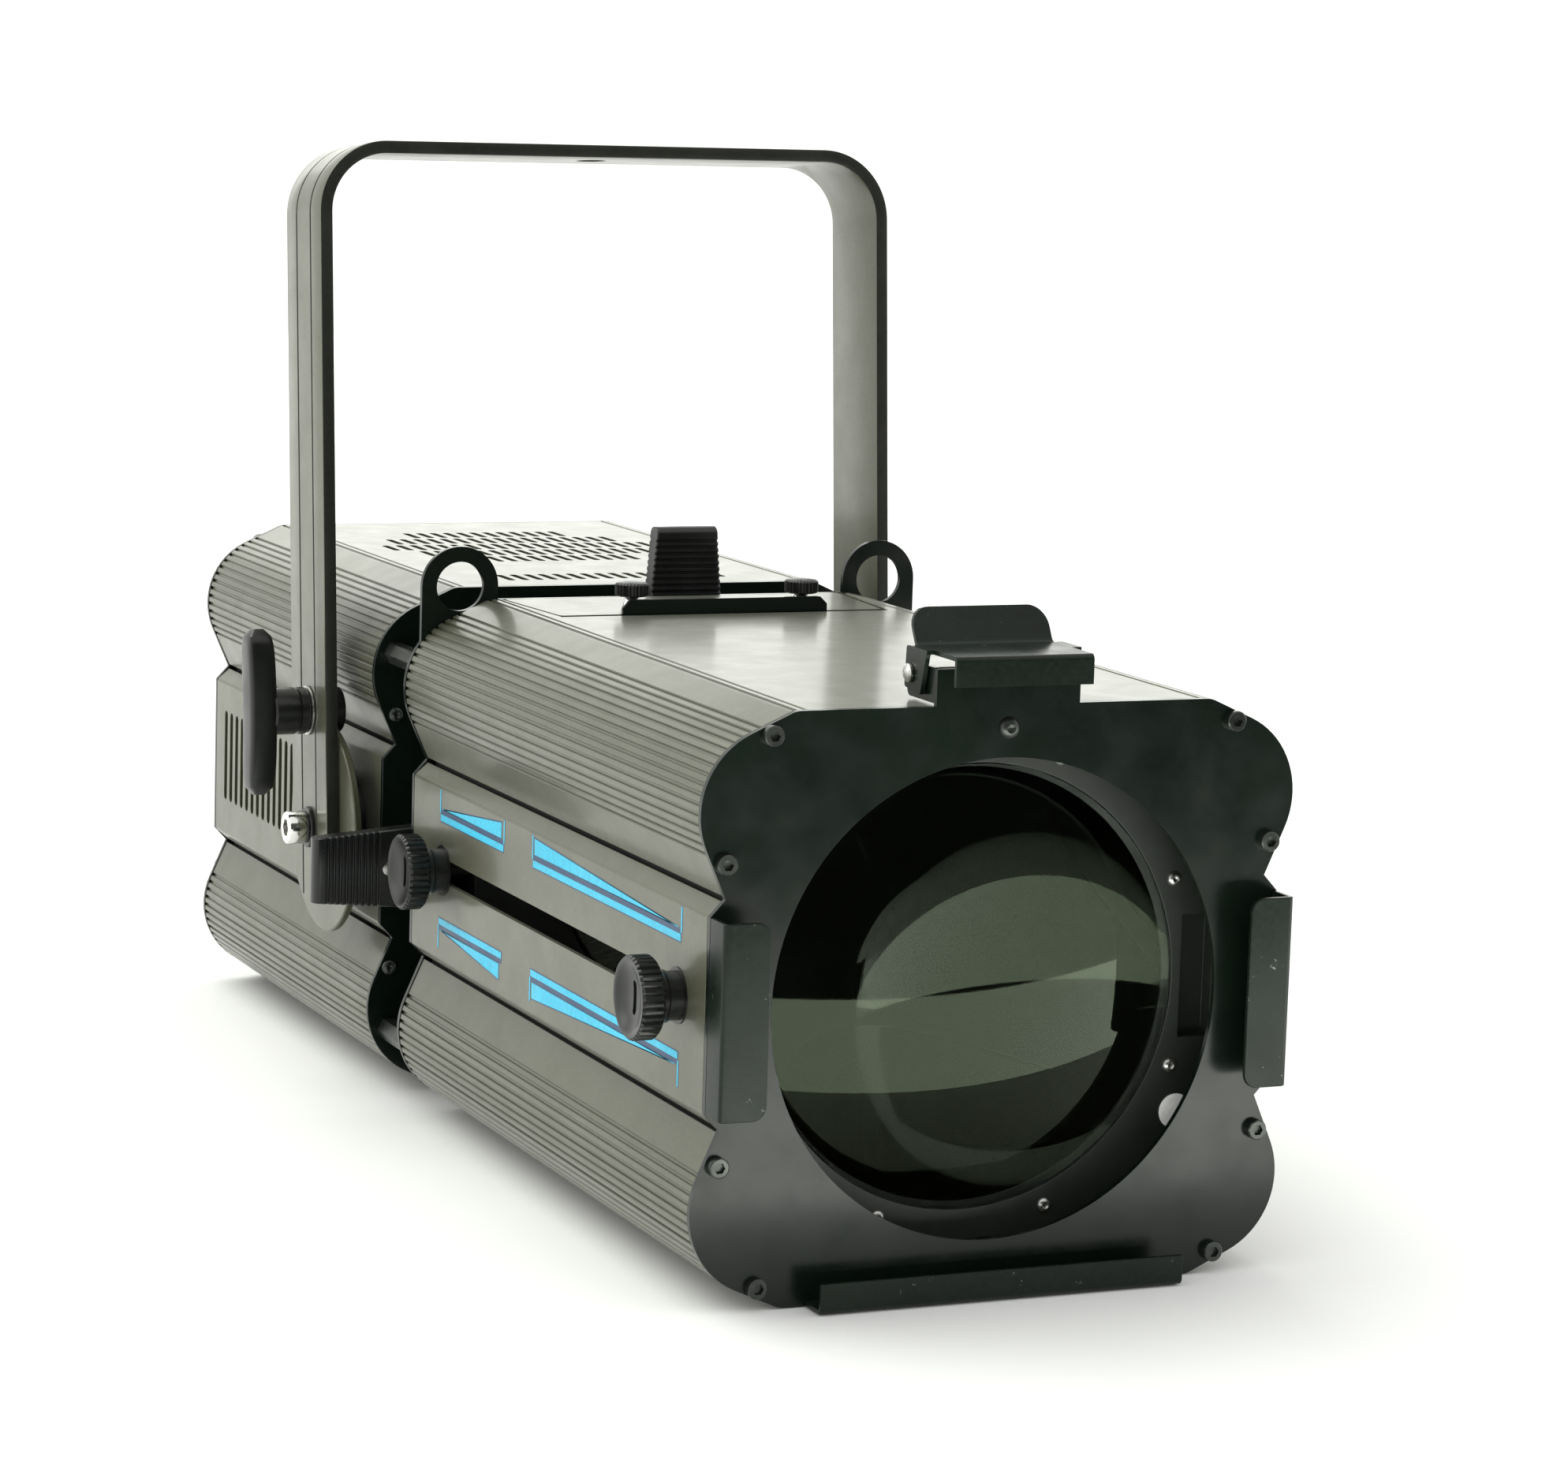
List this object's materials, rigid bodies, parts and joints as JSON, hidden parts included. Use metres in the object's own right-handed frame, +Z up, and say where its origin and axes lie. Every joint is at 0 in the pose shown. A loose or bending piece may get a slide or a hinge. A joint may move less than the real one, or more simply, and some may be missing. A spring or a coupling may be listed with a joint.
{
  "type": "ellipsoidal spotlight",
  "caption": "Zoom profile stage spotlight: ribbed extruded housing, framing shutters, sliding lenses with side knobs, colour-frame holder and a hanging yoke.",
  "frame": {"origin": "on the flat base, straight below the yoke pivot", "axes": "+X across to the lamp's right as seen from the front left picture, -Y is where the light goes, +Z up"},
  "size_m": [0.291, 0.6169, 0.3732],
  "materials": {
    "olive_paint": "semi-gloss olive grey metallic paint on aluminium extrusion",
    "black_paint": "satin black paint with light scuffs on the runner edges",
    "black_plastic": "moulded black plastic, fine grain",
    "bright_steel": "plain bright steel",
    "chrome": "bright chrome plate",
    "optical_glass": "polished clear optical glass, faint green tint",
    "reflector_mirror": "polished faceted aluminium",
    "white_ceramic": "unglazed white ceramic",
    "quartz_glass": "clear quartz lamp envelope"
  },
  "bodies": {
    "housing": {"front_plate": "black_paint", "front_top_shell": "olive_paint", "front_bottom_shell": "olive_paint", "front_left_panel": "olive_paint", "front_right_panel": "olive_paint", "rear_top_shell": "olive_paint", "rear_bottom_shell": "olive_paint", "rear_left_panel": "olive_paint", "rear_right_panel": "olive_paint", "shutter_plate": "black_paint", "rear_bulkhead": "black_paint", "rear_plate": "black_paint", "gate_aperture": "bright_steel", "shutter_retainer": "bright_steel", "gate_post_1": "bright_steel", "gate_post_2": "bright_steel", "gate_post_3": "bright_steel", "gate_post_4": "bright_steel", "guide_rod_left": "bright_steel", "guide_rod_right": "bright_steel", "reflector": "reflector_mirror", "reflector_plate": "bright_steel", "latch_pin": "bright_steel", "tilt_boss_left": "black_plastic", "tilt_boss_right": "black_plastic", "brake_disc_left": "olive_paint", "brake_disc_right": "olive_paint", "pivot_washer_left": "black_plastic", "pivot_washer_right": "black_plastic", "pivot_bolt_left": "chrome", "pivot_bolt_right": "chrome", "cable_gland": "black_paint"},
    "yoke": {"yoke": "olive_paint", "lock_washer": "bright_steel", "lock_jaw": "black_plastic"},
    "tilt_lock": {"tilt_lock_handle": "black_plastic"},
    "front_lens_carriage": {"front_carriage": "black_paint", "front_lens": "optical_glass"},
    "focus_knob": {"focus_knob": "black_plastic"},
    "rear_lens_carriage": {"rear_carriage": "black_paint", "rear_lens": "optical_glass"},
    "zoom_knob": {"zoom_knob": "black_plastic"},
    "shutter_top": {"shutter_handle_top": "black_plastic", "shutter_blade_top": "bright_steel"},
    "shutter_left": {"shutter_handle_left": "black_plastic", "shutter_blade_left": "bright_steel"},
    "shutter_bottom": {"shutter_handle_bottom": "black_plastic", "shutter_blade_bottom": "bright_steel"},
    "shutter_right": {"shutter_handle_right": "black_plastic", "shutter_blade_right": "bright_steel"},
    "frame_latch": {"frame_latch": "black_paint"},
    "access_cover": {"access_cover": "olive_paint", "cover_bracket": "black_paint"},
    "cover_thumbscrew_left": {"cover_thumbscrew_left": "black_plastic"},
    "cover_thumbscrew_right": {"cover_thumbscrew_right": "black_plastic"},
    "lamp_tray": {"lamp": "quartz_glass", "lamp_socket": "white_ceramic", "lamp_cap": "black_paint"},
    "lamp_adjust_knob": {"lamp_adjust_knob": "black_paint"}
  },
  "joints": [
    {"name": "yoke_tilt", "type": "hinge", "parent": "housing", "child": "yoke", "pos_m": [0, 0, 0.1003], "axis": [1, 0, 0], "range_deg": [-175, 45]},
    {"name": "tilt_lock_turn", "type": "hinge", "parent": "yoke", "child": "tilt_lock", "pos_m": [-0.12, 0.00407, 0.14682], "axis": [-1, 0, 0], "range_deg": [0, 180]},
    {"name": "focus_slide", "type": "slide", "parent": "housing", "child": "front_lens_carriage", "axis": [0, 1, 0], "range_m": [0, 0.1435]},
    {"name": "focus_knob_turn", "type": "hinge", "parent": "front_lens_carriage", "child": "focus_knob", "pos_m": [-0.115, -0.353, 0.1021], "axis": [-1, 0, 0], "range_deg": [0, 360]},
    {"name": "zoom_slide", "type": "slide", "parent": "housing", "child": "rear_lens_carriage", "axis": [0, 1, 0], "range_m": [-0.0695, 0]},
    {"name": "zoom_knob_turn", "type": "hinge", "parent": "rear_lens_carriage", "child": "zoom_knob", "pos_m": [-0.115, -0.114, 0.1021], "axis": [-1, 0, 0], "range_deg": [0, 360]},
    {"name": "shutter_top_slide", "type": "slide", "parent": "housing", "child": "shutter_top", "axis": [0, 0, 1], "range_m": [-0.028, 0.016]},
    {"name": "shutter_left_slide", "type": "slide", "parent": "housing", "child": "shutter_left", "axis": [-1, 0, 0], "range_m": [-0.044, 0]},
    {"name": "shutter_bottom_slide", "type": "slide", "parent": "housing", "child": "shutter_bottom", "axis": [0, 0, -1], "range_m": [0, 0.044]},
    {"name": "shutter_right_slide", "type": "slide", "parent": "housing", "child": "shutter_right", "axis": [1, 0, 0], "range_m": [-0.044, 0]},
    {"name": "frame_latch_hinge", "type": "hinge", "parent": "housing", "child": "frame_latch", "pos_m": [0, -0.363, 0.2097], "axis": [1, 0, 0], "range_deg": [-60, 0], "stiffness_Nm_per_rad": 0.05, "springref_deg": 28.65},
    {"name": "cover_lift", "type": "slide", "parent": "housing", "child": "access_cover", "axis": [0, 0, 1], "range_m": [0, 0.06]},
    {"name": "cover_thumbscrew_left_turn", "type": "hinge", "parent": "access_cover", "child": "cover_thumbscrew_left", "pos_m": [-0.035, -0.124, 0.2093], "axis": [0, 0, 1], "range_deg": [0, 360]},
    {"name": "cover_thumbscrew_right_turn", "type": "hinge", "parent": "access_cover", "child": "cover_thumbscrew_right", "pos_m": [0.035, -0.124, 0.2093], "axis": [0, 0, 1], "range_deg": [0, 360]},
    {"name": "lamp_tray_slide", "type": "slide", "parent": "housing", "child": "lamp_tray", "axis": [0, 1, 0], "range_m": [0, 0.17]},
    {"name": "lamp_adjust_turn", "type": "hinge", "parent": "lamp_tray", "child": "lamp_adjust_knob", "pos_m": [0, 0.217, 0.1003], "axis": [0, 1, 0], "range_deg": [-180, 180]}
  ]
}
